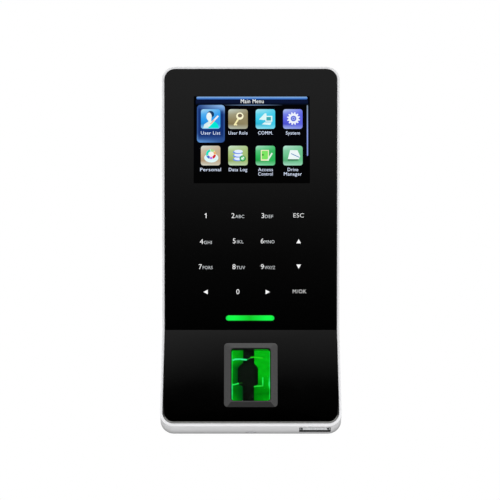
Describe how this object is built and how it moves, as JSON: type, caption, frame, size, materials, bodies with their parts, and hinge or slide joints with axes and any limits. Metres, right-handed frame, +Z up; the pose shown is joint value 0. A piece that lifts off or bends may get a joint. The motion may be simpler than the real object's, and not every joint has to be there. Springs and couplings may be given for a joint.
{
  "type": "fingerprint scanner terminal",
  "caption": "Slim wall-mounted access terminal with a display, a touch keypad and a status light above a sloping fingerprint sensor, hung on a hooked steel wall plate.",
  "frame": {"origin": "on the wall, at the middle of the wall plate's rear face", "axes": "+X to the viewer's right, +Y into the wall, +Z up; the front faces -Y"},
  "size_m": [0.078, 0.0192, 0.16],
  "materials": {
    "galvanised_steel": "zinc-plated sheet, satin",
    "rear_plastic": "fine moulded texture, matt",
    "silver_paint": "satin silver-white paint",
    "black_acrylic": "polished",
    "adhesive_tape": "foam, matt",
    "green_light": "translucent and lit",
    "led_lens": "clear resin",
    "display": "lit behind the panel",
    "plated_steel": "bright tin plate",
    "flex_circuit": "amber film",
    "connector_plastic": "moulded",
    "diffuser": "milky film",
    "circuit_board": "solder mask, semi-gloss",
    "copper": "bare copper",
    "chip_plastic": "moulded epoxy",
    "gilt_metal": "gold flash",
    "relay_plastic": "moulded",
    "tongue_plastic": "moulded",
    "seal_rubber": "matt",
    "grey_plastic": "satin",
    "sensor_glass": "polished",
    "chamber_plastic": "matt",
    "lens_barrel": "matt",
    "screw_steel": "plated",
    "plunger_plastic": "moulded"
  },
  "bodies": {
    "wall_plate": {"wall_plate": "galvanised_steel"},
    "terminal": {"rear_cover": "rear_plastic", "housing": "silver_paint", "display_panel": "black_acrylic", "sensor_panel": "black_acrylic", "panel_tape": "adhesive_tape", "light_bar": "green_light", "status_leds": "led_lens", "lcd_glass": "display", "lcd_frame": "plated_steel", "lcd_flex": "flex_circuit", "lcd_connector": "connector_plastic", "key_diffuser": "diffuser", "touch_board": "circuit_board", "key_leds": "led_lens", "touch_connector": "connector_plastic", "card_antenna": "copper", "main_board": "circuit_board", "processor_shield": "plated_steel", "board_chips": "chip_plastic", "wifi_antenna": "gilt_metal", "network_transformer": "chip_plastic", "relay": "relay_plastic", "buzzer": "chip_plastic", "backup_battery": "plated_steel", "battery_holder": "connector_plastic", "cable_sockets": "connector_plastic", "usb_shell": "plated_steel", "usb_tongue": "tongue_plastic", "usb_gasket": "seal_rubber", "sensor_bezel": "grey_plastic", "sensor_seal": "seal_rubber", "sensor_window": "sensor_glass", "sensor_body": "chamber_plastic", "sensor_lens": "lens_barrel", "sensor_leds": "led_lens", "sensor_board": "circuit_board", "sensor_ribbon": "flex_circuit", "sensor_connector": "connector_plastic", "sensor_screws": "screw_steel", "tamper_switch": "chip_plastic", "reset_switch": "plated_steel", "case_screws": "screw_steel", "board_screws": "screw_steel"},
    "security_screw": {"security_screw": "screw_steel"},
    "tamper_plunger": {"tamper_plunger": "plunger_plastic"},
    "reset_button": {"reset_button": "chip_plastic"}
  },
  "joints": [
    {"name": "terminal_lift", "type": "slide", "parent": "wall_plate", "child": "terminal", "axis": [0, 0, 1], "range_m": [0, 0.005]},
    {"name": "security_screw_out", "type": "slide", "parent": "wall_plate", "child": "security_screw", "axis": [0, 0, -1], "range_m": [0, 0.01]},
    {"name": "tamper_plunger_out", "type": "slide", "parent": "terminal", "child": "tamper_plunger", "axis": [0, 1, 0], "range_m": [-0.0005, 0.0014], "stiffness_N_per_m": 100, "springref_m": 0.0014},
    {"name": "reset_button_press", "type": "slide", "parent": "terminal", "child": "reset_button", "axis": [0, -1, 0], "range_m": [0, 0.0003], "stiffness_N_per_m": 300}
  ]
}
